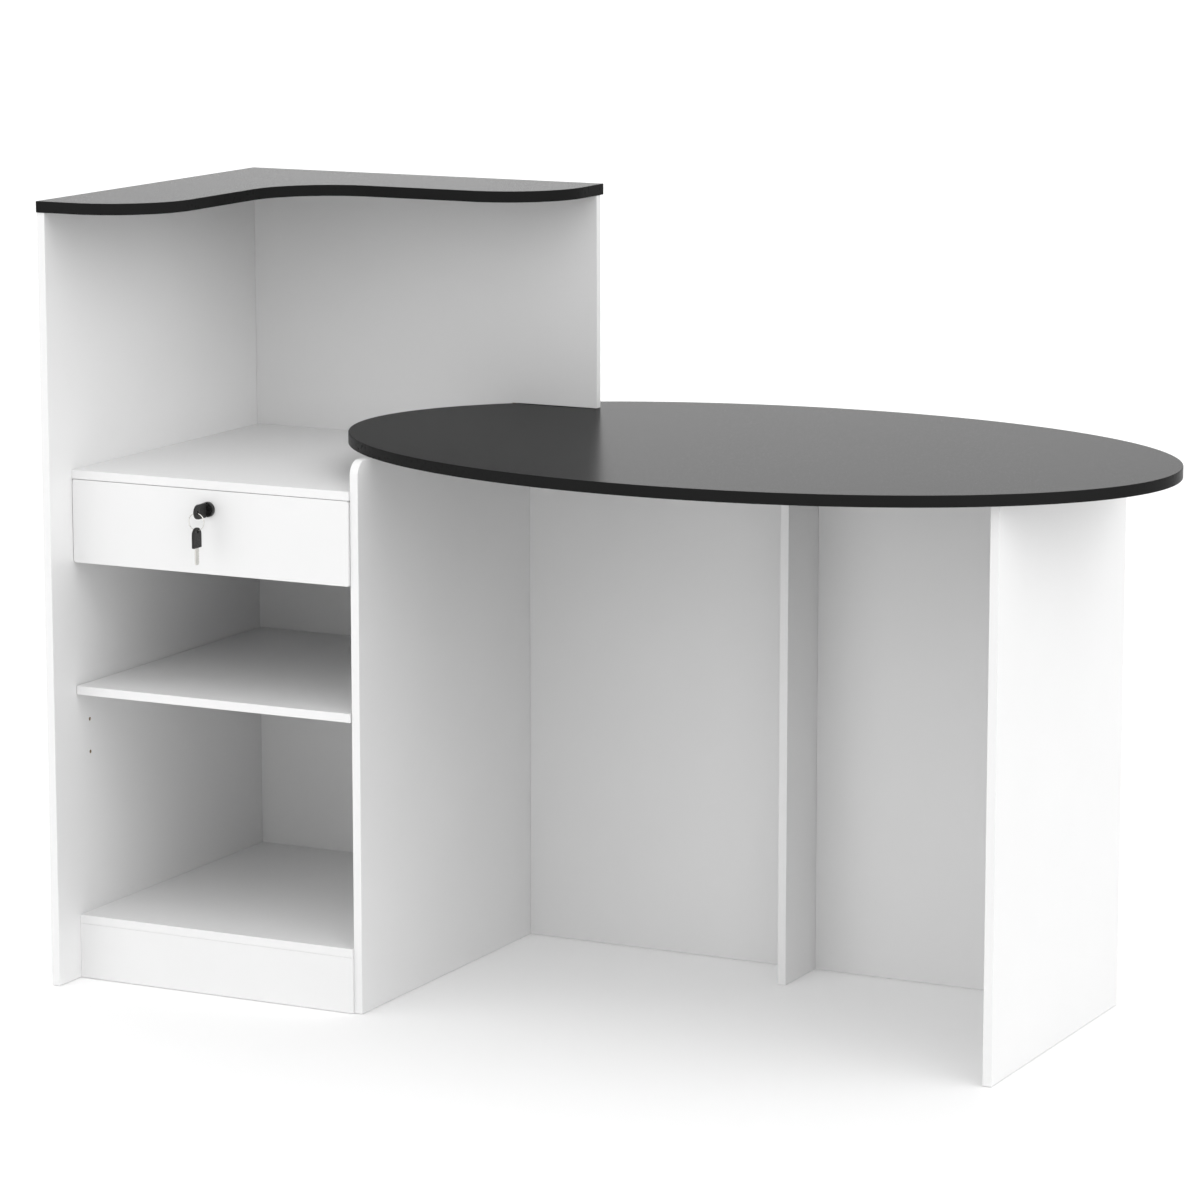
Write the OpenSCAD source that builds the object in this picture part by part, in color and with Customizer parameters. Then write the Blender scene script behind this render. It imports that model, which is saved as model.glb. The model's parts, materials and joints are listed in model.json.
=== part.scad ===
// Checkout counter: a drawer cabinet with a raised L-shaped service counter,
// joined to an oval desk top on panel legs. Flat-pack boards, held by cam locks
// and dowels, with one lockable drawer on roller runners.
// Lengths are in millimetres. Every module is drawn from a corner datum: X to the
// right from the tall side panel's outer face, Y backwards from its front edge,
// Z up from the floor. placed() then moves the part to the centre of its base.

/* [Boards] */
// Thickness of the white boards
board_t = 12; // [12:1:16]
// Thickness of the black tops
top_t = 15; // [15:1:20]
// Height of the glides that lift the boards off the floor
glide_h = 1; // [1:0.5:4]
// Height of the desk surface above the floor
desk_h = 750; // [730:5:770]
// Height of the raised counter's surface above the floor
counter_h = 1056; // [1020:4:1100]

/* [Cabinet] */
// Clear width between the cabinet's side panels
bay_w = 422; // [400:2:460]
// Depth of the tall side panel
tall_d = 546.5; // [540:0.5:560]
// Distance from the tall panel's front edge back to the drawer front
front_y = 53; // [45:1:60]
// Height of the cabinet's own top surface
cabinet_top_h = 695; // [680:1:700]
// Height of the cabinet floor's upper surface
cabinet_floor_h = 88; // [70:1:100]
// Number of pin holes that the adjustable shelf sits below the top one
shelf_step = 0; // [0:1:2]
// Radius of the rounded front corner of the cabinet's right-hand side
corner_r = 20; // [5:1:30]

/* [Raised counter] */
// Width of both arms of the L
arm_w = 172; // [160:2:200]
// Length of the arm above the back panel
arm_l = 552; // [540:1:570]
// Radius of the outer and inner curves of the front edge
curve_r = 112; // [90:2:120]
// Overhang at the back
counter_back_lip = 8; // [4:1:15]

/* [Desk] */
// Left-to-right radius of the oval top
oval_rx = 569; // [560:1:575]
// Front-to-back radius of the oval top
oval_ry = 367; // [355:1:375]
// Distance from the tall panel to the oval's centre
oval_x = 887; // [880:1:895]
// Distance from the tall panel's front edge to the oval's centre
oval_y = 323; // [315:1:330]
// Distance from the tall panel to the upright divider
divider_x = 870; // [860:1:880]
// Depth of the divider
divider_d = 108.5; // [80:0.5:150]
// Distance from the tall panel to the end panel's inner face
end_x = 1302; // [1290:1:1310]
// Depth of the end panel
end_d = 441; // [420:1:450]

/* [Drawer] */
// Height of the drawer front
drawer_front_h = 112; // [105:1:115]
// Radius of the drawer front's corners
front_corner_r = 3; // [1:0.5:6]
// Depth of the drawer box
drawer_d = 400; // [350:10:420]
// Height of the drawer box's sides
drawer_side_h = 86; // [70:1:88]
// Travel of the bolt when the key makes its quarter turn
bolt_throw = 8; // [7:0.5:8]

/* [Hidden] */
$fn = 48;
e = 0.01;

// --- main places, from the corner datum ---
inner_x = board_t;
right_x = inner_x + bay_w;
wall_y = tall_d - board_t;
desk_wall_step = 1;
desk_wall_y = wall_y + desk_wall_step;
desk_wall_back = desk_wall_y + board_t;
desk_under = desk_h - top_t;
counter_under = counter_h - top_t;
side_setback = 3.5;
side_front_y = front_y + side_setback;
side_d = desk_wall_back - side_front_y;
cabinet_d = wall_y - front_y;
kick_h = cabinet_floor_h - board_t - glide_h;
wing_gap = 0.5;
wing_margin = 2;
wing_end = arm_l - wing_margin;
notch_x = 420;
overall_x = oval_x + oval_rx;
counter_lip = 1;
left_arm_trim = 3;
back_arm_extra = 1;

// --- drawer ---
reveal = 0.6;
runner_gap = 12.5;
drawer_top_z = cabinet_top_h - board_t - reveal;
drawer_z = drawer_top_z - drawer_front_h;
box_x = inner_x + runner_gap;
box_w = bay_w - 2 * runner_gap;
box_y = front_y + board_t;
box_rise = 9;
box_z = drawer_z + box_rise;
bottom_t = 3;
bottom_rise = 10;
bottom_z = box_z + bottom_rise;
groove_d = 6;
groove_slack = 0.2;

// --- runners: folded steel strips with a plastic roller each ---
steel_t = 1.2;
roller_r = 12;
roller_w = 6.5;
axle_r = 2;
axle_play = 0.05;
roll_play = 0.1;
rivet_head = 0.8;
runner_rise = 2;
runner_z = drawer_z + runner_rise;
rail_h = 28;
flange_w = 10.5;
roll_z = runner_z + steel_t + roll_play + roller_r;
flange_z = roll_z + roller_r + roll_play;
cabinet_roller_in = 20;
drawer_roller_in = 13;
cabinet_roller_y = box_y + cabinet_roller_in;
drawer_roller_y = box_y + drawer_d - drawer_roller_in;
roller_stand_off = 1.3;
roller_x = steel_t + roller_stand_off;
runner_short = 5;
runner_hole_r = 1.6;
runner_screw_r = 1.5;
runner_head_r = 2.8;
lip_start = 45;
lip_h = 4;

// --- lock: a round barrel through the drawer front with a bolt case behind it ---
lock_x = inner_x + bay_w / 2;
lock_below = 25.4;
lock_z = drawer_top_z - lock_below;
barrel_r = 10;
barrel_proud = 5;
barrel_play = 0.1;
plug_r = 7;
plug_proud = 1.5;
case_w = 40;
case_t = 9;
case_low = 17;
case_high = 23;
bolt_w = 20;
bolt_t = 4;
bolt_play = 0.3;
case_wall = 2.5;
bolt_y = box_y + case_wall;
bolt_low = 9;
bolt_high = 22;
pin_r = 1.2;
// The driving pin turns from 45 degrees below to 45 degrees above level.
pin_reach = bolt_throw / (2 * sin(45));
plug_end = bolt_y - bolt_play;
blade_t = 2;
blade_h = 8;
blade_in = 19;
blade_play = 0.2;
bow_l = 27;
bow_w = 19.5;
bow_t = 4;
bow_hole_r = 2.6;
bow_hole_in = 5;
bow_rim = 3;
bow_dish = 0.5;
bow_gap = 1.5;
ring_r = 11.5;
ring_wire_r = 0.75;
ring_hang = 0.9;
bow_y = front_y - barrel_proud - plug_proud - bow_gap;
key_hole_y = bow_y - bow_l + bow_hole_in;
ring_z = lock_z - ring_r - ring_hang;
spare_hole_z = ring_z - ring_r - ring_hang;
blade_l = 22.5;
tip_l = 2.2;
notch_pitch = 3.4;

// --- shelf support ---
pin_d = 5;
pin_hole_in = 9;
shelf_pitch = 45;
top_hole_z = 396.5;
shelf_pin_z = top_hole_z - shelf_step * shelf_pitch;
shelf_z = shelf_pin_z - board_t / 2;
shelf_pin_y = [86, 500];
shelf_pin_out = 7;
shelf_groove = 8;
groove_play = 0.1;
shelf_gap = 1;

// --- cam lock joints: [cam centre, half turn about the cam's axis, face] ---
// Face "rear" opens backwards, face "under" opens downwards. The bolt runs to +X,
// or to -X with a half turn.
cam_back = 24;
cam_r = 6;
cam_depth = 9.5;
cam_bolt_r = 2.5;
bolt_hole_play = 0.2;
dowel_r = 3;
dowel_off = 32;
dowel_in = 9.5;
dowel_back = 14.5;
dowel_slack = 1;
dowel_play = 0.1;
wall_back = wall_y + board_t;
under_cams = [
    for (z = [cabinet_top_h - board_t, cabinet_floor_h - board_t])
        for (y = [120, 440])
            for (s = [0, 1])
                [[s ? inner_x + cam_back : right_x - cam_back, y, z], s * 180, "under"]
];
rear_cams = concat(
    [for (z = [200, 560, 940]) [[inner_x + cam_back, wall_back, z], 180, "rear"]],
    [for (z = [150, 520]) [[right_x - cam_back, wall_back, z], 0, "rear"]],
    [for (z = [200, 600]) [[right_x + board_t + cam_back, desk_wall_back, z], 180, "rear"]],
    [for (z = [200, 600]) [[divider_x - cam_back, desk_wall_back, z], 0, "rear"]],
    [for (z = [280, 500]) [[divider_x + board_t + cam_back, desk_wall_back, z], 180, "rear"]],
    [for (z = [200, 600]) [[end_x - cam_back, desk_wall_back, z], 0, "rear"]]
);
cams = concat(under_cams, rear_cams);

// Dowels that stand alone: [seam point, turns]. Local +X runs into the board that
// is met face on, and local -X into the other board's end.
kick_dowel_y = front_y + 8;
kick_dowels = [
    for (z = [24, 54]) for (s = [0, 1])
        [[s ? inner_x : right_x, kick_dowel_y, z], [0, 0, s * 180]]
];
drawer_dowel_list = [
    for (z = [box_z + 28, box_z + drawer_side_h - 14]) for (s = [0, 1])
        let (x = s ? box_x + board_t : box_x + box_w - board_t)
        each [
            [[x, box_y + drawer_d - board_t / 2, z], [0, 0, s * 180]],
            [[x + (s ? -1 : 1) * board_t / 2, box_y, z], [0, 0, -90]]
        ]
];

// --- brackets: [corner, turn about Z], legs along the turned +X and up the wall ---
bracket_l = 15;
bracket_w = 30;
bracket_t = 2;
screw_r = 1.75;
desk_bracket_at = [
    [[right_x + board_t, 200, desk_under], 0],
    [[right_x + board_t, 430, desk_under], 0],
    [[650, desk_wall_y, desk_under], -90],
    [[divider_x, 480, desk_under], 180],
    [[1090, desk_wall_y, desk_under], -90],
    [[end_x, 200, desk_under], 180],
    [[end_x, 430, desk_under], 180]
];
counter_bracket_at = [
    [[inner_x, 220, counter_under], 0],
    [[inner_x, 400, counter_under], 0],
    [[230, wall_y, counter_under], -90],
    [[390, wall_y, counter_under], -90]
];

module placed() {
    translate([-(overall_x - counter_lip) / 2, -oval_y, 0]) children();
}

// A board standing from its lower left front corner.
module board(at, size) {
    translate(at) cube(size);
}

module white_board() {
    color("whitesmoke") placed() children();
}

module rod(r, from, to) {
    translate([from, 0, 0]) rotate([0, 90, 0]) cylinder(r = r, h = to - from);
}

// Puts children at a cam joint: local +Z out of the face, local +X along the bolt.
module at_cam(c) {
    translate(c[0]) rotate(c[2] == "rear" ? [-90, 0, 0] : [180, 0, 0]) rotate(c[1]) children();
}

// Everything a cam joint takes out of the boards that it joins.
module cam_cut(list) {
    for (c = list) at_cam(c) {
        translate([0, 0, -cam_depth]) cylinder(r = cam_r, h = cam_depth + 1);
        translate([0, 0, -board_t / 2]) {
            rod(cam_bolt_r + bolt_hole_play, 0, cam_back + 10);
            translate([0, dowel_off, 0])
                rod(dowel_r, cam_back - dowel_back, cam_back + dowel_in);
        }
    }
}

module dowel_cut(list) {
    for (d = list) translate(d[0]) rotate(d[1]) rod(dowel_r, -dowel_back, dowel_in);
}

module dowel_set(list) {
    for (d = list) translate(d[0]) rotate(d[1])
        rod(dowel_r - dowel_play, dowel_slack - dowel_back, dowel_in - dowel_slack);
}

module pin_holes() {
    for (y = shelf_pin_y) for (k = [0:2])
        translate([0, y, top_hole_z - k * shelf_pitch])
            rod(pin_d / 2, -pin_hole_in, pin_hole_in);
}

// --- carcass boards ---
module tall_side_panel() {
    white_board() difference() {
        board([0, 0, glide_h], [board_t, tall_d, counter_under - glide_h]);
        cam_cut(cams);
        dowel_cut(kick_dowels);
        translate([inner_x, 0, 0]) pin_holes();
    }
}

// One notched board: full height behind the cabinet, with a wing above the desk.
module back_panel() {
    white_board() difference() {
        board([inner_x, wall_y, glide_h], [wing_end - inner_x, board_t, counter_under - glide_h]);
        board([right_x, wall_y - 1, 0], [wing_end, board_t + 2, desk_h]);
        board([notch_x, wall_y - 1, desk_under - 1], [wing_end, board_t + 2, top_t + 1 + wing_gap]);
        cam_cut(cams);
    }
}

module cabinet_side_right() {
    panel_h = desk_under - glide_h;
    white_board() difference() {
        translate([right_x, side_front_y, glide_h]) difference() {
            cube([board_t, side_d, panel_h]);
            translate([-1, -1, panel_h - corner_r]) difference() {
                cube([board_t + 2, corner_r + 1, corner_r + 1]);
                translate([0, corner_r + 1, 0]) rod(corner_r, -1, board_t + 3, $fn = 96);
            }
        }
        cam_cut(cams);
        dowel_cut(kick_dowels);
        translate([right_x, 0, 0]) pin_holes();
    }
}

module cabinet_top() {
    white_board() difference() {
        board([inner_x, front_y, cabinet_top_h - board_t], [bay_w, cabinet_d, board_t]);
        cam_cut(cams);
        board([lock_x - bolt_w / 2 - 2, bolt_y - 2, 0],
            [bolt_w + 4, bolt_t + 4, cabinet_top_h - 3]);
    }
}

module cabinet_floor() {
    white_board() difference() {
        board([inner_x, front_y, cabinet_floor_h - board_t], [bay_w, cabinet_d, board_t]);
        cam_cut(cams);
    }
}

module kick_board() {
    white_board() difference() {
        board([inner_x, front_y, glide_h], [bay_w, board_t, kick_h]);
        dowel_cut(kick_dowels);
    }
}

// The shelf drops over its pins, which lie in short grooves in its underside.
module adjustable_shelf() {
    white_board() difference() {
        board([inner_x + shelf_gap, front_y + 1, shelf_z],
            [bay_w - 2 * shelf_gap, cabinet_d - 3, board_t]);
        for (x = [inner_x, right_x - shelf_groove]) for (y = shelf_pin_y) {
            translate([x, y, shelf_pin_z]) rod(pin_d / 2 + groove_play, 0, shelf_groove);
            board([x, y - pin_d / 2 - groove_play, shelf_z - 1],
                [shelf_groove, pin_d + 2 * groove_play, board_t / 2 + 1]);
        }
    }
}

module shelf_pins() {
    color("silver") placed() for (y = shelf_pin_y) {
        translate([inner_x, y, shelf_pin_z]) shelf_pin();
        translate([right_x, y, shelf_pin_z]) mirror([1, 0, 0]) shelf_pin();
    }
}

module shelf_pin() {
    rod(pin_d / 2 - 0.05, 0.5 - pin_hole_in, shelf_pin_out);
}

// --- desk boards ---
module desk_back_left() {
    white_board() difference() {
        board([right_x + board_t, desk_wall_y, glide_h],
            [divider_x - right_x - board_t, board_t, desk_under - glide_h]);
        cam_cut(cams);
    }
}

module desk_back_right() {
    white_board() difference() {
        board([divider_x + board_t, desk_wall_y, glide_h],
            [end_x - divider_x - board_t, board_t, desk_under - glide_h]);
        cam_cut(cams);
    }
}

module divider() {
    white_board() difference() {
        board([divider_x, desk_wall_back - divider_d, glide_h],
            [board_t, divider_d, desk_under - glide_h]);
        cam_cut(cams);
    }
}

module end_panel() {
    white_board() difference() {
        board([end_x, desk_wall_back - end_d, glide_h], [board_t, end_d, desk_under - glide_h]);
        cam_cut(cams);
    }
}

module oval_desk_top() {
    color("dimgray") placed() translate([oval_x, oval_y, desk_under]) linear_extrude(top_t)
        polygon([for (a = [0:2:358]) [oval_rx * cos(a), oval_ry * sin(a)]]);
}

// L-shaped outline: both front corners and the inner corner are smooth curves.
module counter_outline() {
    back = tall_d + counter_back_lip;
    bend_x = arm_w - left_arm_trim;
    bend_y = back - arm_w - back_arm_extra;
    difference() {
        translate([-counter_lip, -counter_lip]) square([arm_l, back + counter_lip]);
        difference() {
            translate([bend_x, -2 * counter_lip]) square([arm_l, bend_y + 2 * counter_lip]);
            translate([bend_x - e, bend_y - curve_r]) difference() {
                square(curve_r + e);
                translate([curve_r, 0]) circle(curve_r, $fn = 120);
            }
        }
        outer_cut(bend_x, -counter_lip);
        outer_cut(arm_l - counter_lip, bend_y);
    }
}

// The waste outside one quarter round whose corner is at (x, y).
module outer_cut(x, y) {
    translate([x - curve_r, y]) difference() {
        translate([0, -2]) square([curve_r + 2, curve_r + 2]);
        translate([0, curve_r]) circle(curve_r, $fn = 120);
    }
}

module raised_counter_top() {
    color("dimgray") placed()
        translate([0, 0, counter_under]) linear_extrude(top_t) counter_outline();
}

// --- drawer ---
module rounded_rect(w, h, r) {
    translate([r, 0]) square([w - 2 * r, h]);
    translate([0, r]) square([w, h - 2 * r]);
    for (x = [r, w - r]) for (y = [r, h - r]) translate([x, y]) circle(r);
}

module drawer_front() {
    white_board() difference() {
        translate([inner_x + reveal, front_y + board_t, drawer_z]) rotate([90, 0, 0])
            linear_extrude(board_t)
                rounded_rect(bay_w - 2 * reveal, drawer_front_h, front_corner_r);
        translate([lock_x, front_y - 1, lock_z]) rotate([-90, 0, 0])
            cylinder(r = barrel_r + barrel_play, h = board_t + 2);
        dowel_cut(drawer_dowel_list);
    }
}

module drawer_side(x, inner) {
    white_board() difference() {
        board([x, box_y, box_z], [board_t, drawer_d, drawer_side_h]);
        board([inner - groove_d, box_y - 1, bottom_z],
            [2 * groove_d, drawer_d + 2, bottom_t + groove_slack]);
        dowel_cut(drawer_dowel_list);
    }
}

module drawer_side_left() {
    drawer_side(box_x, box_x + board_t);
}

module drawer_side_right() {
    drawer_side(box_x + box_w - board_t, box_x + box_w - board_t);
}

module drawer_back() {
    low_z = bottom_z + bottom_t + groove_slack;
    white_board() difference() {
        board([box_x + board_t, box_y + drawer_d - board_t, low_z],
            [box_w - 2 * board_t, board_t, box_z + drawer_side_h - low_z]);
        dowel_cut(drawer_dowel_list);
    }
}

module drawer_bottom() {
    side_play = 0.5;
    white_board() board(
        [box_x + board_t - groove_d + side_play, box_y + side_play, bottom_z + groove_slack / 2],
        [box_w - 2 * (board_t - groove_d + side_play), drawer_d - 2 * side_play, bottom_t]);
}

// Runner shapes are drawn for the left side; the right side is their mirror image.
module right_hand() {
    translate([2 * lock_x, 0, 0]) mirror([1, 0, 0]) children();
}

module axle(x, y, length) {
    translate([x, y, roll_z]) rod(axle_r, 0, length);
}

module cabinet_runner() {
    run_l = drawer_d - runner_short;
    difference() {
        board([inner_x, box_y, runner_z], [steel_t, run_l, rail_h]);
        cabinet_screw_places() rod(runner_hole_r, -1, 3);
    }
    translate([inner_x, box_y, 0]) {
        board([0, 0, runner_z], [flange_w, run_l, steel_t]);
        board([flange_w - steel_t, lip_start, runner_z], [steel_t, run_l - lip_start, lip_h]);
    }
    axle(inner_x, cabinet_roller_y, roller_x + roller_w + rivet_head);
    translate([inner_x, cabinet_roller_y, roll_z]) rod(4, 0, roller_x - 0.2);
}

module drawer_runner() {
    web_x = inner_x + runner_gap - steel_t;
    top_z = flange_z + steel_t;
    difference() {
        board([web_x, box_y, box_z - steel_t], [steel_t, drawer_d, top_z - box_z + steel_t]);
        drawer_screw_places() rod(runner_hole_r, -1, 3);
    }
    board([web_x, box_y, box_z - steel_t], [board_t, drawer_d, steel_t]);
    board([inner_x + 3, box_y, flange_z], [web_x - inner_x - 3 + e, drawer_d, steel_t]);
    axle(inner_x + roller_x - rivet_head, drawer_roller_y,
        runner_gap - steel_t - roller_x + rivet_head + e);
}

module roller(y) {
    translate([inner_x + roller_x, y, roll_z]) difference() {
        union() {
            rod(roller_r, 1, roller_w - 1);
            rod(roller_r - 1, 0, roller_w);
        }
        rod(axle_r + axle_play, -1, roller_w + 1);
        rod(roller_r - 4, -1, 1.5);
    }
}

module cabinet_runner_left() {
    color("silver") placed() cabinet_runner();
}

module cabinet_runner_right() {
    color("silver") placed() right_hand() cabinet_runner();
}

module drawer_runner_left() {
    color("silver") placed() drawer_runner();
}

module drawer_runner_right() {
    color("silver") placed() right_hand() drawer_runner();
}

module cabinet_roller_left() {
    color("white") placed() roller(cabinet_roller_y);
}

module cabinet_roller_right() {
    color("white") placed() right_hand() roller(cabinet_roller_y);
}

module drawer_roller_left() {
    color("white") placed() roller(drawer_roller_y);
}

module drawer_roller_right() {
    color("white") placed() right_hand() roller(drawer_roller_y);
}

// --- lock: local axis along +Y, from the front ---
module lock_axis(y) {
    placed() translate([lock_x, y, lock_z]) rotate([-90, 0, 0]) children();
}

module lock_case() {
    front = front_y - barrel_proud;
    color("dimgray") difference() {
        union() {
            lock_axis(front + 1) cylinder(r = barrel_r, h = box_y - front - 1 + e);
            lock_axis(front) cylinder(r1 = barrel_r - 1, r2 = barrel_r, h = 1 + e);
            placed() board([lock_x - case_w / 2, box_y, lock_z - case_low],
                [case_w, case_t, case_low + case_high]);
        }
        lock_axis(front - 1) cylinder(r = plug_r + axle_play, h = bolt_y - front + 1);
        placed() board(
            [lock_x - bolt_w / 2 - bolt_play, bolt_y - bolt_play, lock_z - bolt_low - 1],
            [bolt_w + 2 * bolt_play, bolt_t + 2 * bolt_play, case_low + case_high]);
        placed() lock_screw_places() cylinder(r = screw_r, h = case_t + 2);
    }
}

module lock_screw_places() {
    for (x = [-1, 1]) for (z = [-case_low + 5, case_high - 5])
        translate([lock_x + x * (case_w / 2 - 4.5), box_y + case_t, lock_z + z])
            rotate([90, 0, 0]) translate([0, 0, -0.5]) children();
}

module lock_screws() {
    color("silver") placed() lock_screw_places() {
        translate([0, 0, -1]) cylinder(r = 3, h = 1.5);
        cylinder(r = screw_r - 0.05, h = case_t + 8);
    }
}

// The plug turns in the barrel; its pin, behind and off centre, lifts the bolt.
module lock_plug() {
    front = front_y - barrel_proud - plug_proud;
    color("gray") difference() {
        union() {
            lock_axis(front) cylinder(r = plug_r, h = plug_end - front);
            placed() translate([lock_x - pin_reach * cos(45), plug_end - e,
                lock_z - pin_reach * sin(45)])
                rotate([-90, 0, 0]) cylinder(r = pin_r, h = bolt_t + bolt_play);
        }
        placed() board(
            [lock_x - blade_t / 2 - blade_play, front - 1, lock_z - blade_h / 2 - blade_play],
            [blade_t + 2 * blade_play, blade_in + 2, blade_h + 2 * blade_play]);
    }
}

module lock_bolt() {
    slot_h = 2 * pin_r + 0.9;
    color("silver") placed() difference() {
        board([lock_x - bolt_w / 2, bolt_y, lock_z - bolt_low],
            [bolt_w, bolt_t, bolt_low + bolt_high]);
        board([lock_x - pin_reach - pin_r - 0.5, bolt_y - 1,
            lock_z - pin_reach * sin(45) - slot_h / 2],
            [pin_reach * (1 - cos(45)) + 2 * pin_r + 1.2, bolt_t + 2, slot_h]);
    }
}

// --- keys: drawn pointing along +Y with the bow's back at y = 0 ---
module bow() {
    rotate([0, -90, 0]) translate([0, 0, -bow_t / 2]) difference() {
        linear_extrude(bow_t) difference() {
            union() {
                translate([-bow_w / 2, -bow_l + bow_w / 2]) square([bow_w, bow_l - bow_w / 2]);
                translate([0, -bow_l + bow_w / 2]) circle(bow_w / 2, $fn = 64);
            }
            translate([0, -bow_l + bow_hole_in]) circle(bow_hole_r);
        }
        for (z = [bow_dish - 1, bow_t - bow_dish])
            translate([-bow_w / 2 + bow_rim, -bow_l + 4 * bow_rim, z])
                cube([bow_w - 2 * bow_rim, bow_l - 5 * bow_rim, 1]);
    }
}

module blade(length) {
    difference() {
        translate([-blade_t / 2, 0, -blade_h / 2]) cube([blade_t, length, blade_h]);
        for (z = [-blade_h / 2, blade_h / 2]) translate([0, length, z])
            rotate([45, 0, 0]) cube([3, tip_l * sqrt(2), tip_l * sqrt(2)], center = true);
        for (k = [0:3]) translate([0, length - 6 - notch_pitch * k, blade_h / 2])
            rotate([45, 0, 0]) cube([3, 1 + 0.4 * (k % 2), 1 + 0.4 * (k % 2)], center = true);
    }
}

module at_key() {
    placed() translate([lock_x, bow_y, lock_z]) children();
}

module at_spare() {
    placed() translate([lock_x, key_hole_y, spare_hole_z - bow_l + bow_hole_in])
        rotate([-90, 0, 0]) children();
}

module key_bow() {
    color("black") at_key() bow();
}

module key_blade() {
    color("silver") at_key() blade(blade_in + plug_proud);
}

module spare_key_bow() {
    color("black") at_spare() bow();
}

module spare_key_blade() {
    color("silver") at_spare() blade(blade_l);
}

module key_ring() {
    color("silver") placed() translate([lock_x, key_hole_y, ring_z]) rotate([90, 0, 0])
        rotate_extrude($fn = 64) translate([ring_r, 0]) circle(ring_wire_r, $fn = 16);
}

// --- hidden hardware ---
module cam_locks() {
    color("silver") placed() for (c = cams) at_cam(c) difference() {
        translate([0, 0, -cam_depth + 0.2]) cylinder(r = cam_r - 0.1, h = cam_depth - 0.5);
        translate([0, 0, -board_t / 2]) rod(cam_bolt_r + bolt_hole_play, -3, cam_r + 1);
        translate([0, 0, -0.8]) cube([7, 1.4, 2], center = true);
        translate([0, 0, -0.8]) cube([1.4, 7, 2], center = true);
    }
}

module cam_bolts() {
    color("silver") placed() for (c = cams) at_cam(c) translate([0, 0, -board_t / 2]) {
        rod(cam_bolt_r, -2, 1);
        rod(1.5, 0, 5);
        rod(cam_bolt_r, 4, cam_back + 9);
    }
}

module cam_covers() {
    color("white") placed() for (c = rear_cams) at_cam(c) {
        cylinder(r = cam_r + 2.5, h = 0.5);
        translate([0, 0, 0.5 - e]) cylinder(r1 = cam_r + 2, r2 = cam_r + 1, h = 0.4);
    }
}

module dowels() {
    color("burlywood") placed() {
        for (c = cams) at_cam(c) translate([0, dowel_off, -board_t / 2])
            rod(dowel_r - dowel_play, cam_back - dowel_back + dowel_slack,
                cam_back + dowel_in - dowel_slack);
        dowel_set(kick_dowels);
    }
}

module drawer_dowels() {
    color("burlywood") placed() dowel_set(drawer_dowel_list);
}

module bracket() {
    translate([0, -bracket_w / 2, -bracket_l]) cube([bracket_t, bracket_w, bracket_l]);
    translate([0, -bracket_w / 2, -bracket_t]) cube([bracket_l, bracket_w, bracket_t]);
}

module at_bracket(b) {
    translate(b[0]) rotate(b[1]) children();
}

module brackets(list) {
    color("silver") placed() difference() {
        for (b = list) at_bracket(b) bracket();
        for (b = list) at_bracket(b) bracket_screw_places() cylinder(r = screw_r, h = 8, center = true);
    }
}

// Two screws go up into the top and two into the panel.
module bracket_screw_places() {
    for (y = [-1, 1] * bracket_w / 4) {
        translate([bracket_l / 2 + 1, y, -bracket_t]) children();
        translate([bracket_t, y, -bracket_l / 2 - 1]) rotate([0, -90, 0]) children();
    }
}

module desk_brackets() {
    brackets(desk_bracket_at);
}

module counter_brackets() {
    brackets(counter_bracket_at);
}

module bracket_screws() {
    color("silver") placed() for (b = concat(desk_bracket_at, counter_bracket_at))
        at_bracket(b) bracket_screw_places() {
            translate([0, 0, -1.4]) cylinder(r = 3, h = 1.4);
            translate([0, 0, -e]) cylinder(r = screw_r - 0.05, h = bracket_t + 9);
        }
}

module cabinet_screw_places() {
    for (y = [130, 300, 430]) translate([inner_x, y, runner_z + rail_h - 4]) children();
}

module drawer_screw_places() {
    for (y = [130, 280, 400]) translate([inner_x + runner_gap - steel_t, y, box_z + 6]) children();
}

module cabinet_runner_screw() {
    rod(runner_head_r, steel_t, steel_t + 1);
    rod(runner_screw_r, -9, steel_t + e);
}

module drawer_runner_screw() {
    rod(runner_head_r, -1, 0);
    rod(runner_screw_r, -e, 10);
}

module cabinet_runner_screws() {
    color("silver") placed() {
        cabinet_screw_places() cabinet_runner_screw();
        right_hand() cabinet_screw_places() cabinet_runner_screw();
    }
}

module drawer_runner_screws() {
    color("silver") placed() {
        drawer_screw_places() drawer_runner_screw();
        right_hand() drawer_screw_places() drawer_runner_screw();
    }
}

module floor_glides() {
    half = board_t / 2;
    spots = [
        [half, 40], [half, tall_d - 40],
        [right_x + half, side_front_y + 40], [right_x + half, desk_wall_back - 40],
        [inner_x + 80, front_y + half], [right_x - 80, front_y + half],
        [150, wall_y + half], [350, wall_y + half],
        [560, desk_wall_y + half], [760, desk_wall_y + half],
        [divider_x + half, desk_wall_back - divider_d + 25],
        [990, desk_wall_y + half], [1200, desk_wall_y + half],
        [end_x + half, desk_wall_back - end_d + 40], [end_x + half, desk_wall_back - 40]
    ];
    color("gainsboro") placed() for (p = spots) translate([p[0], p[1], 0]) {
        cylinder(r1 = board_t / 2 - 1.2, r2 = board_t / 2 - 0.6, h = 0.6 + e);
        translate([0, 0, 0.6]) cylinder(r = board_t / 2 - 0.6, h = glide_h - 0.6);
    }
}

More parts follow.
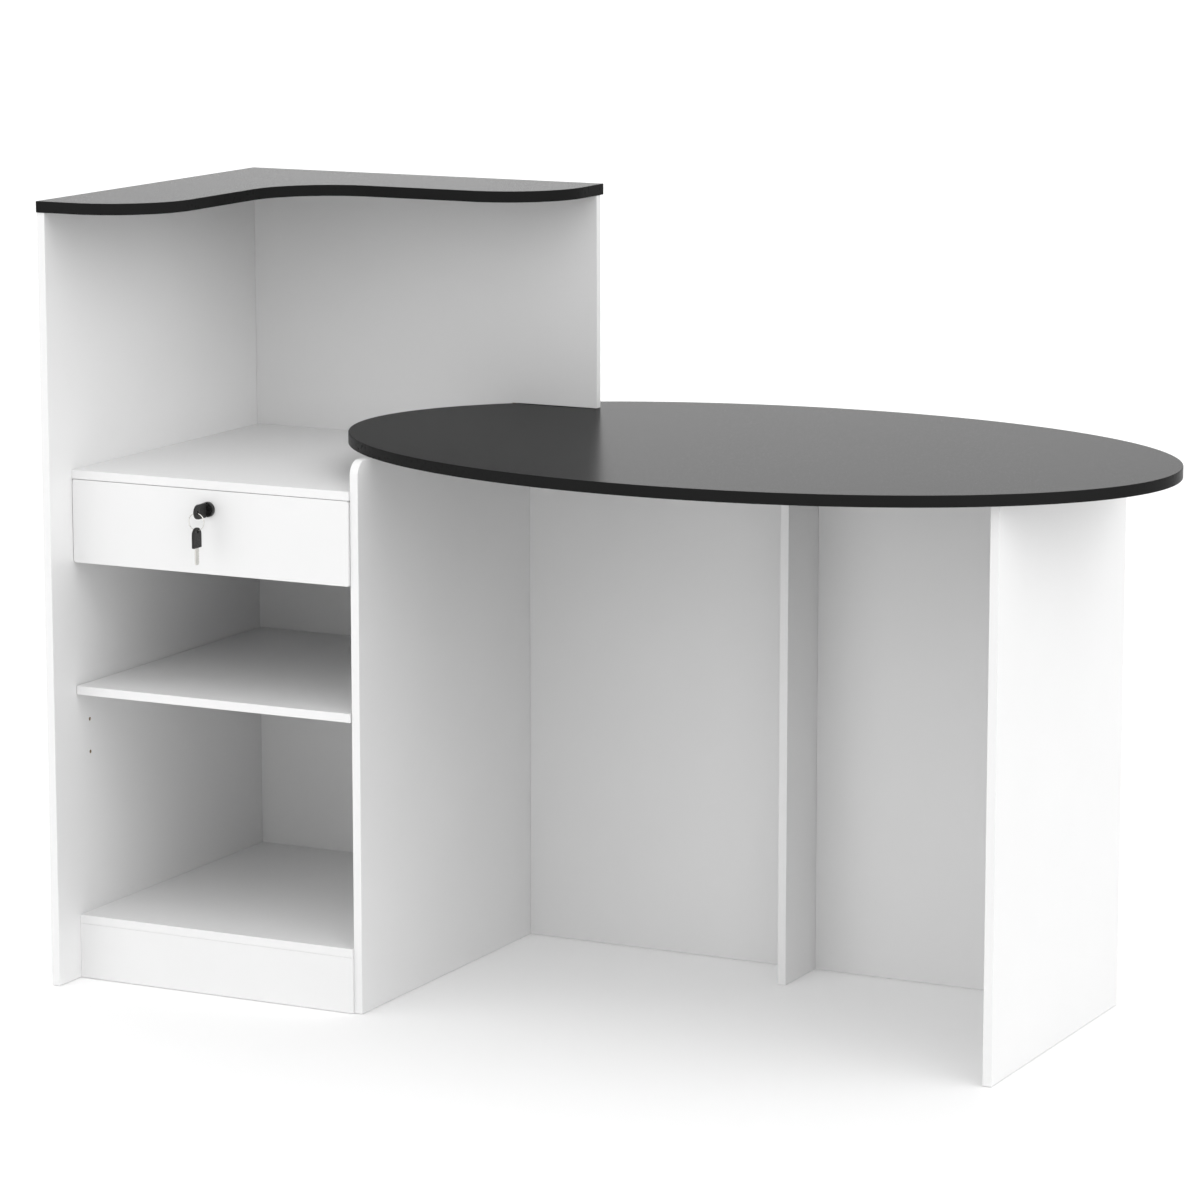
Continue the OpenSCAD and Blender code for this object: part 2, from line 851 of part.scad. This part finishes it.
tall_side_panel();
back_panel();
cabinet_side_right();
cabinet_top();
cabinet_floor();
kick_board();
adjustable_shelf();
shelf_pins();
desk_back_left();
desk_back_right();
divider();
end_panel();
oval_desk_top();
raised_counter_top();
drawer_front();
drawer_side_left();
drawer_side_right();
drawer_back();
drawer_bottom();
cabinet_runner_left();
cabinet_runner_right();
drawer_runner_left();
drawer_runner_right();
cabinet_roller_left();
cabinet_roller_right();
drawer_roller_left();
drawer_roller_right();
lock_case();
lock_plug();
lock_bolt();
lock_screws();
key_bow();
key_blade();
key_ring();
spare_key_bow();
spare_key_blade();
cam_locks();
cam_bolts();
cam_covers();
dowels();
drawer_dowels();
desk_brackets();
counter_brackets();
bracket_screws();
cabinet_runner_screws();
drawer_runner_screws();
floor_glides();
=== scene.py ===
"""Looks of a checkout counter: white melamine boards, black tops, a lockable drawer."""
import json
import math

import bmesh
import bpy
from mathutils import Matrix, Vector


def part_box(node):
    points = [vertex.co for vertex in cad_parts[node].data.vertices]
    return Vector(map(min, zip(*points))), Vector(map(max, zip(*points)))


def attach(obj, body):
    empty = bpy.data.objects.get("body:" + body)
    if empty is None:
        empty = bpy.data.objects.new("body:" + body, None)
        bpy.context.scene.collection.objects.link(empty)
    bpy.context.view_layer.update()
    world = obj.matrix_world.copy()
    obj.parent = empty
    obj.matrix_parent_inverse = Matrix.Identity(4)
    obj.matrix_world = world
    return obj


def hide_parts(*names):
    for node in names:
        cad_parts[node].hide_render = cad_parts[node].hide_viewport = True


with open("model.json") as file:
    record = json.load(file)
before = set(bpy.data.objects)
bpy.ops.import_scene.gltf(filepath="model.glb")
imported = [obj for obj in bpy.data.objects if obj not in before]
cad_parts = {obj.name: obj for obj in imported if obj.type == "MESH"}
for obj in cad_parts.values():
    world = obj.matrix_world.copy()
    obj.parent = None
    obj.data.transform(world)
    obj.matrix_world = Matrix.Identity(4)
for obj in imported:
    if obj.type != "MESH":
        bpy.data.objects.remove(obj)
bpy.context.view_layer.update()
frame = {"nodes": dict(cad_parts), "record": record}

SLOT_OF = {s["node"]: s["material_slot"] for s in frame["record"]["subparts"]}
BODY_OF = {n: b for b, ns in frame["record"]["behaviour"]["bodies"].items() for n in ns}

# The white boards, with the axis that each is thin along.
BOARD_AXIS = {
    "tall_side_panel": 0,
    "back_panel": 1,
    "cabinet_side_right": 0,
    "cabinet_top": 2,
    "cabinet_floor": 2,
    "kick_board": 1,
    "adjustable_shelf": 2,
    "desk_back_left": 1,
    "desk_back_right": 1,
    "divider": 0,
    "end_panel": 0,
    "drawer_front": 1,
    "drawer_side_left": 0,
    "drawer_side_right": 0,
    "drawer_back": 1,
    "drawer_bottom": 2,
}
# A board's arrises are rounded by EASE. Runs of edges shorter than OUTER_EDGE aren't,
# and round walls smaller than DRILLED are drilled holes, where the core shows.
EASE = 0.0005
EASE_SEGMENTS = 2
OUTER_EDGE = 0.06
DRILLED = 0.03
# An edge is rounded where its faces meet at more than SHARP. Faces that meet at less than
# RUNS_ON belong to one wall, and at less than LEVEL to one flat face. Corners of the CAD's
# mesh that are closer than MERGE are one.
SHARP = math.radians(50)
RUNS_ON = math.radians(20)
LEVEL = math.radians(0.2)
MERGE = 2e-6
# The arris material is darker than the band: a painted shade line along every eased edge.
BOARD_MATERIALS = ("white_melamine", "white_edge", "arris_painted_shade", "particle_core")
FACE, BAND, ARRIS, CORE = range(len(BOARD_MATERIALS))

# How far the edges of the hard parts are rounded.
EASED_PARTS = {
    "lock_case": 0.0004,
    "lock_plug": 0.0002,
    "lock_bolt": 0.0004,
    "cabinet_runner_left": 0.0003,
    "drawer_runner_left": 0.0003,
    "cabinet_roller_left": 0.0005,
    "drawer_roller_left": 0.0005,
    "cabinet_runner_right": 0.0003,
    "drawer_runner_right": 0.0003,
    "cabinet_roller_right": 0.0005,
    "drawer_roller_right": 0.0005,
    "floor_glides": 0.0003,
    "desk_brackets": 0.0003,
    "counter_brackets": 0.0003,
}
# The CAD's own fixings, which only get a better material.
CARRIED_OVER = (
    "cam_covers",
    "cam_locks",
    "cam_bolts",
    "dowels",
    "drawer_dowels",
    "shelf_pins",
    "bracket_screws",
    "cabinet_runner_screws",
    "drawer_runner_screws",
    "lock_screws",
)

# The black tops' edge band, its arrises, and the seam between it and the core.
BAND_T = 0.0011
BAND_ARRIS = 0.0008
BAND_SEAM = 0.00004

# The L of the raised counter: its two arms and its curves.
ARM_LEFT = 0.170
ARM_BACK = 0.173
ARM_CURVE = 0.112
ARM_CORNER = 0.002

# The key bows: ring hole, the chamfer at the blade, and the grip ribs.
BOW_EASE = 0.0009
BOW_HOLE_IN = 0.005
BOW_HOLE_R = 0.0026
BOW_CHAMFER = (0.0006, 0.001)
RIB_COUNT = 4
RIB_START = 0.0045
RIB_PITCH = 0.0032
RIB_SIZE = (0.0006, 0.0048)
RIB_T = 0.0009
RIB_EASE = 0.0003
BLADE_EASE = 0.00015

# The split ring: two turns of wire that cross over where one turn meets the next.
WIRE_R = 0.00046
RING_IN = 0.00075
RING_STEPS = 72
RING_TURNS = 2
RING_START = math.radians(200)
CROSS_FROM, CROSS_OVER = 0.85, 0.3
TURN_PITCH = 2.1 * WIRE_R


# --- node helpers ---------------------------------------------------------------
def new_material(name):
    """A material with a Principled shader, and what is needed to wire it."""
    mat = bpy.data.materials.new(name)
    mat.use_nodes = True
    nodes = mat.node_tree.nodes
    nodes.clear()
    out = nodes.new("ShaderNodeOutputMaterial")
    bsdf = nodes.new("ShaderNodeBsdfPrincipled")
    mat.node_tree.links.new(bsdf.outputs["BSDF"], out.inputs["Surface"])
    return mat, nodes, mat.node_tree.links, bsdf


def noise(nodes, links, scale, detail=3.0, stretch=(1, 1, 1)):
    """Noise in the object's own metres: scale is in cells per metre."""
    coord = nodes.new("ShaderNodeTexCoord")
    mapping = nodes.new("ShaderNodeMapping")
    mapping.inputs["Scale"].default_value = stretch
    links.new(coord.outputs["Object"], mapping.inputs["Vector"])
    tex = nodes.new("ShaderNodeTexNoise")
    tex.inputs["Scale"].default_value = scale
    tex.inputs["Detail"].default_value = detail
    links.new(mapping.outputs["Vector"], tex.inputs["Vector"])
    return tex.outputs["Fac"]


def spread(nodes, links, factor, low, high):
    """factor, which is mostly 0.3 to 0.7, mapped to low to high."""
    ramp = nodes.new("ShaderNodeMapRange")
    ramp.inputs["From Min"].default_value = 0.3
    ramp.inputs["From Max"].default_value = 0.7
    ramp.inputs["To Min"].default_value = low
    ramp.inputs["To Max"].default_value = high
    links.new(factor, ramp.inputs["Value"])
    return ramp.outputs["Result"]


def tint(nodes, links, factor, dark, light):
    """A colour between dark and light, by factor."""
    mix = nodes.new("ShaderNodeMix")
    mix.data_type = "RGBA"
    mix.inputs["A"].default_value = (*dark, 1)
    mix.inputs["B"].default_value = (*light, 1)
    links.new(spread(nodes, links, factor, 0, 1), mix.inputs["Factor"])
    return mix.outputs["Result"]


def bump(nodes, links, bsdf, heights):
    """A chain of bumps on the shader: each of heights is (height, strength, metres)."""
    normal = None
    for height, strength, depth in heights:
        node = nodes.new("ShaderNodeBump")
        node.inputs["Strength"].default_value = strength
        node.inputs["Distance"].default_value = depth
        links.new(height, node.inputs["Height"])
        if normal is not None:
            links.new(normal, node.inputs["Normal"])
        normal = node.outputs["Normal"]
    links.new(normal, bsdf.inputs["Normal"])


def surface(name, dark, light, rough, grain, patch=5.0, metal=0.0, specular=0.5,
            bumps=((1.0, 0.1, 0.0001),), stretch=(1, 1, 1)):
    """A material with cloudy colour, uneven gloss and one bump for each of bumps.

    rough is (least, most). patch and grain are the cells per metre of the clouds and of
    the finest bump, and each of bumps is (multiple of grain, strength, metres).
    """
    mat, nodes, links, bsdf = new_material(name)
    cloud = noise(nodes, links, patch)
    links.new(tint(nodes, links, cloud, dark, light), bsdf.inputs["Base Color"])
    fine = noise(nodes, links, grain * 0.25, stretch=stretch)
    links.new(spread(nodes, links, fine, *rough), bsdf.inputs["Roughness"])
    bsdf.inputs["Metallic"].default_value = metal
    bsdf.inputs["Specular IOR Level"].default_value = specular
    bump(nodes, links, bsdf, [
        (noise(nodes, links, grain * k, 2.0, stretch), strength, depth)
        for k, strength, depth in bumps
    ])
    return mat


def grey(value):
    return (value, value, value)


# --- materials ------------------------------------------------------------------
def white_melamine():
    """Paper-faced board: fine pearl grain over a very faint cloudiness."""
    return surface("white_melamine", grey(0.785), grey(0.80), (0.36, 0.46), 1400,
                   bumps=((1.0, 0.12, 0.00008), (0.12, 0.05, 0.0002)))


def white_edge():
    """Plastic edge band: smoother and a trace brighter than the face."""
    return surface("white_edge_band", grey(0.79), grey(0.805), (0.28, 0.36), 700,
                   bumps=((1.0, 0.06, 0.00005),), stretch=(1, 1, 0.1))


def arris_painted_shade():
    """The eased arris: a satin scrape, in a darker grey that paints a thin shade line along
    each edge.
    """
    return surface("arris_painted_shade", grey(0.74), grey(0.77), (0.3, 0.4), 900)


def black_melamine():
    """Satin black top: soft reflections broken by a fine pearl grain."""
    return surface("black_melamine", grey(0.0105), grey(0.0125), (0.22, 0.28), 1600,
                   specular=0.007, bumps=((1.0, 0.05, 0.00003), (0.1, 0.03, 0.0001)))


def black_edge():
    return surface("black_edge_band", grey(0.0130), grey(0.0155), (0.26, 0.32), 700,
                   specular=0.015, bumps=((1.0, 0.04, 0.00003),))


def black_plastic():
    return surface("black_plastic", grey(0.013), grey(0.019), (0.38, 0.5), 2500,
                   patch=60, specular=0.3, bumps=((1.0, 0.25, 0.00005),))


def black_lock():
    return surface("black_lock", grey(0.008), grey(0.014), (0.22, 0.34), 2000,
                   patch=80, specular=0.35, bumps=((1.0, 0.12, 0.00004),))


def metal(name, dark, light, rough, stretch=(1, 1, 1)):
    return surface(name, dark, light, rough, 1500, patch=40, metal=1.0,
                   bumps=((1.0, 0.1, 0.00003),), stretch=stretch)


def particle_core():
    """Raw chipboard inside the drilled holes."""
    return surface("particle_core", (0.38, 0.29, 0.20), (0.58, 0.47, 0.34), (0.8, 0.95),
                   900, patch=350, bumps=((1.0, 0.6, 0.0004),))


MATERIALS = {
    "white_melamine": white_melamine(),
    "white_edge": white_edge(),
    "arris_painted_shade": arris_painted_shade(),
    "particle_core": particle_core(),
    "black_melamine": black_melamine(),
    "black_edge": black_edge(),
    "black_plastic": black_plastic(),
    "black_lock": black_lock(),
    "nickel": metal("nickel", (0.62, 0.61, 0.58), (0.76, 0.75, 0.72), (0.16, 0.26),
                    stretch=(1, 1, 0.08)),
    "zinc": metal("zinc", (0.50, 0.51, 0.53), (0.68, 0.69, 0.70), (0.26, 0.4)),
    "cam_zinc": metal("cam_zinc", (0.42, 0.43, 0.44), (0.56, 0.57, 0.58), (0.4, 0.55)),
    "runner_white": surface("runner_white", grey(0.72), grey(0.76), (0.3, 0.4), 900,
                            bumps=((1.0, 0.2, 0.0001),)),
    "white_plastic": surface("white_plastic", grey(0.74), grey(0.78), (0.35, 0.45), 1200,
                             patch=60, bumps=((1.0, 0.1, 0.00005),)),
    "beech": surface("beech", (0.52, 0.34, 0.19), (0.68, 0.49, 0.30), (0.5, 0.65), 900,
                     patch=120, bumps=((1.0, 0.3, 0.0001),), stretch=(0.1, 1, 1)),
}


# --- mesh helpers ---------------------------------------------------------------
def piece_from(name, bm, body, slot, materials, smooth_angle=35):
    """Finishes a mesh as a piece of the object."""
    bmesh.ops.recalc_face_normals(bm, faces=bm.faces)
    mesh = bpy.data.meshes.new(name)
    bm.to_mesh(mesh)
    bm.free()
    for m in materials:
        mesh.materials.append(MATERIALS[m])
    mesh.shade_smooth()
    mesh.set_sharp_from_angle(angle=math.radians(smooth_angle))
    obj = bpy.data.objects.new(name, mesh)
    bpy.context.scene.collection.objects.link(obj)
    flat = obj.modifiers.new("flat_faces", "WEIGHTED_NORMAL")
    flat.keep_sharp = True
    flat.weight = 100
    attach(obj, body)
    return obj


def edge_groups(edges):
    """Sets of edges that hang together."""
    left = set(edges)
    while left:
        group, reach = set(), [left.pop()]
        while reach:
            edge = reach.pop()
            group.add(edge)
            near = {n for v in edge.verts for n in v.link_edges} & left
            left -= near
            reach += near
        yield group


def span(parts):
    """The longest side of the box round edges or faces."""
    points = [v.co for part in parts for v in part.verts]
    return max(max(p[i] for p in points) - min(p[i] for p in points) for i in range(3))


def smooth_groups(bm, angle):
    """Sets of faces that run into each other without a sharp edge."""
    left = set(bm.faces)
    while left:
        group, reach = set(), [left.pop()]
        while reach:
            face = reach.pop()
            group.add(face)
            near = {f for e in face.edges if e.calc_face_angle(4) < angle
                    for f in e.link_faces} & left
            left -= near
            reach += near
        yield group


def clean_copy(node):
    """The node's mesh with its doubled corners merged and its flat faces joined."""
    bm = bmesh.new()
    bm.from_mesh(frame["nodes"][node].data)
    bmesh.ops.remove_doubles(bm, verts=bm.verts, dist=MERGE)
    bmesh.ops.dissolve_limit(bm, angle_limit=LEVEL, verts=bm.verts, edges=bm.edges)
    return bm


def eased(node, width, smallest=0.0):
    """A copy of the node whose sharp edges are rounded, and the faces that this made.

    Runs of edges that span no more than smallest stay as they are.
    """
    bm = clean_copy(node)
    sharp = [e for e in bm.edges if e.is_manifold and e.calc_face_angle(0) > SHARP]
    chosen = [e for group in edge_groups(sharp) if span(group) > smallest for e in group]
    made = bmesh.ops.bevel(bm, geom=chosen, offset=width, offset_type="OFFSET",
                           segments=EASE_SEGMENTS, profile=0.5, affect="EDGES",
                           clamp_overlap=True)
    return bm, set(made["faces"])


def board(node, axis):
    """A melamine board: laminate on its two faces, edge band round it, eased arrises."""
    bm, arrises = eased(node, EASE, OUTER_EDGE)
    for group in smooth_groups(bm, RUNS_ON):
        drilled = span(group) < DRILLED
        for face in group:
            face.normal_update()
            if face in arrises:
                face.material_index = ARRIS
            elif drilled:
                face.material_index = CORE
            else:
                face.material_index = FACE if abs(face.normal[axis]) > 0.9 else BAND
    made = piece_from(node + "_board", bm, BODY_OF[node], SLOT_OF[node], BOARD_MATERIALS)
    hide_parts(node)
    return made


def eased_part(node, width):
    """A hard part whose edges catch the light."""
    bm, _ = eased(node, width)
    made = piece_from(node + "_part", bm, BODY_OF[node], SLOT_OF[node], [SLOT_OF[node]])
    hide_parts(node)
    return made


def rounded_path(corners, steps=40):
    """A closed outline through corners (x, y, radius), each turned into an arc."""
    path = []
    count = len(corners)
    for i, (x, y, radius) in enumerate(corners):
        here = Vector((x, y))
        back = (Vector(corners[i - 1][:2]) - here).normalized()
        ahead = (Vector(corners[(i + 1) % count][:2]) - here).normalized()
        half = back.angle(ahead) / 2
        centre = here + (back + ahead).normalized() * radius / math.sin(half)
        start = here + back * radius / math.tan(half) - centre
        end = here + ahead * radius / math.tan(half) - centre
        turn = math.atan2(start.x * end.y - start.y * end.x, start.dot(end))
        for k in range(steps + 1):
            path.append(centre + Matrix.Rotation(turn * k / steps, 2) @ start)
    return path


def ellipse_path(centre, rx, ry, count=400):
    angles = [2 * math.pi * k / count for k in range(count)]
    return [Vector((centre.x + rx * math.cos(a), centre.y + ry * math.sin(a)))
            for a in angles]


def inset(path, depth):
    """A closed anticlockwise outline moved inwards by depth."""
    moved = []
    for i, p in enumerate(path):
        along = path[(i + 1) % len(path)] - path[i - 1]
        normal = Vector((-along.y, along.x)).normalized()
        moved.append(p + normal * depth)
    return moved


def arris_profile(low, high, radius, steps=4):
    """(inset, height) pairs from the bottom to the top of an edge with round arrises."""
    angles = [math.radians(90 * k / steps) for k in range(steps + 1)]
    bottom = [(radius * (1 - math.sin(a)), low + radius * (1 - math.cos(a))) for a in angles]
    top = [(d, high - (z - low)) for d, z in reversed(bottom)]
    return bottom + top


def ring_of(bm, path, z):
    return [bm.verts.new((p.x, p.y, z)) for p in path]


def skin(bm, rings, closed):
    """Faces between rings of corners, and back to the first ring if closed."""
    pairs = list(zip(rings, rings[1:])) + ([(rings[-1], rings[0])] if closed else [])
    for a, b in pairs:
        for i in range(len(a)):
            j = (i + 1) % len(a)
            bm.faces.new((a[i], a[j], b[j], b[i]))


def banded_top(node, path):
    """A black top: a laminated core, and a plastic band wrapped round its edge."""
    low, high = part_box(node)
    bm = bmesh.new()
    core = inset(path, BAND_T)
    rings = [ring_of(bm, core, low.z), ring_of(bm, core, high.z)]
    skin(bm, rings, False)
    bm.faces.new(rings[0])
    bm.faces.new(rings[1])
    made = piece_from(node + "_core", bm, BODY_OF[node], SLOT_OF[node], ["black_melamine"])
    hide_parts(node)
    bm = bmesh.new()
    bottom, top = low.z + BAND_SEAM, high.z - BAND_SEAM
    outer = [ring_of(bm, inset(path, d), z) for d, z in arris_profile(bottom, top, BAND_ARRIS)]
    inner = inset(path, BAND_T - BAND_SEAM)
    rings = [ring_of(bm, inner, bottom), *outer, ring_of(bm, inner, top)]
    skin(bm, rings, True)
    piece_from(node + "_edge_band", bm, BODY_OF[node], SLOT_OF[node], ["black_edge"])


# --- tops -----------------------------------------------------------------------
def oval_top():
    low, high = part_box("oval_desk_top")
    centre, size = (low + high) / 2, (high - low) / 2
    banded_top("oval_desk_top", ellipse_path(centre, size.x, size.y))


def counter_top():
    """The L of the raised counter, with its two curved corners and curved inner bend."""
    low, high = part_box("raised_counter_top")
    banded_top("raised_counter_top", rounded_path([
        (low.x, low.y, ARM_CORNER),
        (low.x + ARM_LEFT, low.y, ARM_CURVE),
        (low.x + ARM_LEFT, high.y - ARM_BACK, ARM_CURVE),
        (high.x, high.y - ARM_BACK, ARM_CURVE),
        (high.x, high.y, ARM_CORNER),
        (low.x, high.y, ARM_CORNER),
    ]))


# --- keys -----------------------------------------------------------------------
def bow_outline(length, width):
    """A straight-sided bow with a round end: points in (along, across)."""
    r = width / 2
    along, across = BOW_CHAMFER
    steps = 28
    arc = [(-length + r - r * math.sin(math.pi * k / steps), r * math.cos(math.pi * k / steps))
           for k in range(steps + 1)]
    return [(0, -r + across), (-along, -r), *reversed(arc), (-along, r), (0, r - across)]


def curve_solid(name, splines, thickness, bevel, to_world):
    """A flat plate with round edges and holes, from closed splines in its plane."""
    curve = bpy.data.curves.new(name, "CURVE")
    curve.dimensions = "2D"
    curve.fill_mode = "BOTH"
    curve.extrude = thickness / 2 - bevel
    curve.bevel_depth = bevel
    curve.bevel_resolution = 3
    curve.offset = -bevel
    for points in splines:
        spline = curve.splines.new("POLY")
        spline.points.add(len(points) - 1)
        for target, (x, y) in zip(spline.points, points):
            target.co = (x, y, 0, 1)
        spline.use_cyclic_u = True
    holder = bpy.data.objects.new(name + "_curve", curve)
    bpy.context.scene.collection.objects.link(holder)
    bpy.context.view_layer.update()
    mesh = bpy.data.meshes.new_from_object(holder.evaluated_get(
        bpy.context.evaluated_depsgraph_get()))
    bm = bmesh.new()
    bm.from_mesh(mesh)
    bmesh.ops.remove_doubles(bm, verts=bm.verts, dist=1e-6)
    bm.transform(to_world)
    bpy.data.objects.remove(holder)
    bpy.data.curves.remove(curve)
    bpy.data.meshes.remove(mesh)
    return bm


def bow(node, to_world, length, width, thickness):
    """A moulded bow: a rounded plate with a ring hole and, on both faces, grip ribs."""
    body, slot, materials, smooth = BODY_OF[node], SLOT_OF[node], ["black_plastic"], 50
    steps = 32
    turns = [2 * math.pi * k / steps for k in range(steps)]
    hole = [(-length + BOW_HOLE_IN + BOW_HOLE_R * math.cos(a), BOW_HOLE_R * math.sin(a))
            for a in turns]
    bm = curve_solid(node, [bow_outline(length, width), hole], thickness, BOW_EASE, to_world)
    made = piece_from(node + "_moulding", bm, body, slot, materials, smooth)
    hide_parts(node)
    half_l, half_w = RIB_SIZE
    for side, label in ((-1, "near"), (1, "far")):
        lift = Matrix.Translation((0, 0, side * thickness / 2))
        for k in range(RIB_COUNT):
            middle = -RIB_START - k * RIB_PITCH
            rib = [(middle + half_l * x, half_w * y)
                   for x, y in ((1, -1), (1, 1), (-1, 1), (-1, -1))]
            bm = curve_solid("rib", [rib], RIB_T, RIB_EASE, to_world @ lift)
            piece_from(f"{node}_rib_{label}_{k}", bm, body, slot, materials, smooth)


def along_axes(origin, along, across, out):
    """The matrix that puts a plate's (along, across, thickness) into the row frame."""
    m = Matrix((along, across, out)).transposed().to_4x4()
    m.translation = origin
    return m


def keys():
    """Both keys: the one in the lock points back, the spare one hangs down."""
    for node, along, across in (("key_bow", Vector((0, 1, 0)), Vector((0, 0, 1))),
                                ("spare_key_bow", Vector((0, 0, -1)), Vector((0, 1, 0)))):
        low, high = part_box(node)
        centre, size = (low + high) / 2, high - low
        length = abs(size.dot(along))
        width = abs(size.dot(across))
        origin = centre + along * length / 2
        plate = along_axes(origin, along, across, along.cross(across))
        bow(node, plate, length, width, size.x)
    for node in ("key_blade", "spare_key_blade"):
        eased_part(node, BLADE_EASE)


def split_ring():
    """Two turns of wire, whose ends lie flat on the ring."""
    low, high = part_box("key_ring")
    centre = (low + high) / 2
    radius = (high.x - low.x) / 2 - RING_IN
    axis = Vector((0, 1, 0))
    sides = 12
    round_wire = [2 * math.pi * j / sides for j in range(sides)]
    bm = bmesh.new()
    rings = []
    for k in range(RING_STEPS * RING_TURNS + 1):
        angle = 2 * math.pi * k / RING_STEPS + RING_START
        ease = min(max((k / RING_STEPS - CROSS_FROM) / CROSS_OVER, 0), 1)
        shift = (ease * ease * (3 - 2 * ease) - 0.5) * TURN_PITCH
        out = Vector((math.cos(angle), 0, math.sin(angle)))
        middle = centre + out * radius + axis * shift
        rings.append([bm.verts.new(middle + (out * math.cos(t) + axis * math.sin(t)) * WIRE_R)
                      for t in round_wire])
    skin(bm, rings, False)
    bm.faces.new(rings[0])
    bm.faces.new(rings[-1])
    made = piece_from("key_ring_coil", bm, "key_ring", "nickel", ["nickel"], 60)
    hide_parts("key_ring")


# --- room, lights and camera ----------------------------------------------------
FLOOR_HALF = 60.0
# The floor glows a little, so that shadows on it stay pale.
FLOOR_GLOW = 0.135


def floor():
    mat = surface("floor_pale", grey(0.86), grey(0.88), (0.55, 0.65), 300, patch=0.7,
                  specular=0.2, bumps=((1.0, 0.05, 0.0001),))
    bsdf = mat.node_tree.nodes["Principled BSDF"]
    bsdf.inputs["Emission Color"].default_value = (1, 1, 1, 1)
    bsdf.inputs["Emission Strength"].default_value = FLOOR_GLOW
    mesh = bpy.data.meshes.new("floor")
    corners = [(-1, -1), (1, -1), (1, 1), (-1, 1)]
    mesh.from_pydata([(x * FLOOR_HALF, y * FLOOR_HALF, 0) for x, y in corners],
                     [], [(0, 1, 2, 3)])
    mesh.materials.append(mat)
    obj = bpy.data.objects.new("floor", mesh)
    bpy.context.scene.collection.objects.link(obj)


# The studio's light: (direction, how narrow it is, strength).
SKY = (
    ((0, 0, 1), 0, 0.45),
    ((0, 0, 1), 2, 0.82),
    ((1, 0, 0.2), 3, 0.62),
    ((-0.7, -0.7, 0.2), 3, 1.22),
    ((0.7, -0.3, 0.6), 4, 1.53),
    ((-0.5, -0.85, 0.2), 12, 0.24),
    ((-0.44, 0.88, 0.17), 16, 2.5),
)
# How bright the room's wall looks; it adds nothing to the light on the counter.
BACKDROP = 1.4


def calculate(nodes, links, operation, *values):
    """A Math node on values, each a number or a socket."""
    node = nodes.new("ShaderNodeMath")
    node.operation = operation
    for place, value in zip(node.inputs, values):
        if isinstance(value, (int, float)):
            place.default_value = value
        else:
            links.new(value, place)
    return node.outputs[0]


def studio_world():
    """White light from all round, as a sum of soft lobes."""
    world = bpy.data.worlds.new("studio")
    bpy.context.scene.world = world
    world.use_nodes = True
    nodes, links = world.node_tree.nodes, world.node_tree.links
    nodes.clear()
    out = nodes.new("ShaderNodeOutputWorld")
    light = nodes.new("ShaderNodeBackground")
    links.new(light.outputs["Background"], out.inputs["Surface"])
    coord = nodes.new("ShaderNodeTexCoord")
    total = None
    for direction, narrow, strength in SKY:
        facing = nodes.new("ShaderNodeVectorMath")
        facing.operation = "DOT_PRODUCT"
        links.new(coord.outputs["Generated"], facing.inputs[0])
        facing.inputs[1].default_value = Vector(direction).normalized()
        value = calculate(nodes, links, "MAXIMUM", facing.outputs["Value"], 0.0)
        value = calculate(nodes, links, "POWER", value, narrow)
        value = calculate(nodes, links, "MULTIPLY", value, strength)
        total = calculate(nodes, links, "ADD", value, total or 0.0)
    seen = nodes.new("ShaderNodeLightPath").outputs["Is Camera Ray"]
    backdrop = calculate(nodes, links, "MULTIPLY", seen, BACKDROP)
    links.new(calculate(nodes, links, "MAXIMUM", total, backdrop), light.inputs["Strength"])


CAMERA_AT = (2.7330, -5.5728, 1.6571)
AZIMUTH = math.radians(26.67)
PITCH = math.radians(10.26)
SENSOR_MM = 36.0
LENS_MM = 143.7
FAR = 200.0


def camera():
    """A long lens, a little to the right and above, as the counter is looked at."""
    data = bpy.data.cameras.new("camera")
    data.sensor_width = SENSOR_MM
    data.lens = LENS_MM
    data.clip_end = FAR
    cam = bpy.data.objects.new("camera", data)
    back = Vector((math.sin(AZIMUTH) * math.cos(PITCH), -math.cos(AZIMUTH) * math.cos(PITCH),
                   math.sin(PITCH)))
    cam.location = CAMERA_AT
    cam.rotation_euler = (-back).to_track_quat("-Z", "Y").to_euler()
    bpy.context.scene.collection.objects.link(cam)
    bpy.context.scene.camera = cam


# --- build ----------------------------------------------------------------------
camera()
for node_name, thin_axis in BOARD_AXIS.items():
    board(node_name, thin_axis)
oval_top()
counter_top()
keys()
split_ring()
for node_name, rounding in EASED_PARTS.items():
    eased_part(node_name, rounding)
for node_name in CARRIED_OVER:
    for place in frame["nodes"][node_name].material_slots:
        place.material = MATERIALS[SLOT_OF[node_name]]
floor()
studio_world()
bpy.context.scene.view_settings.view_transform = "Standard"
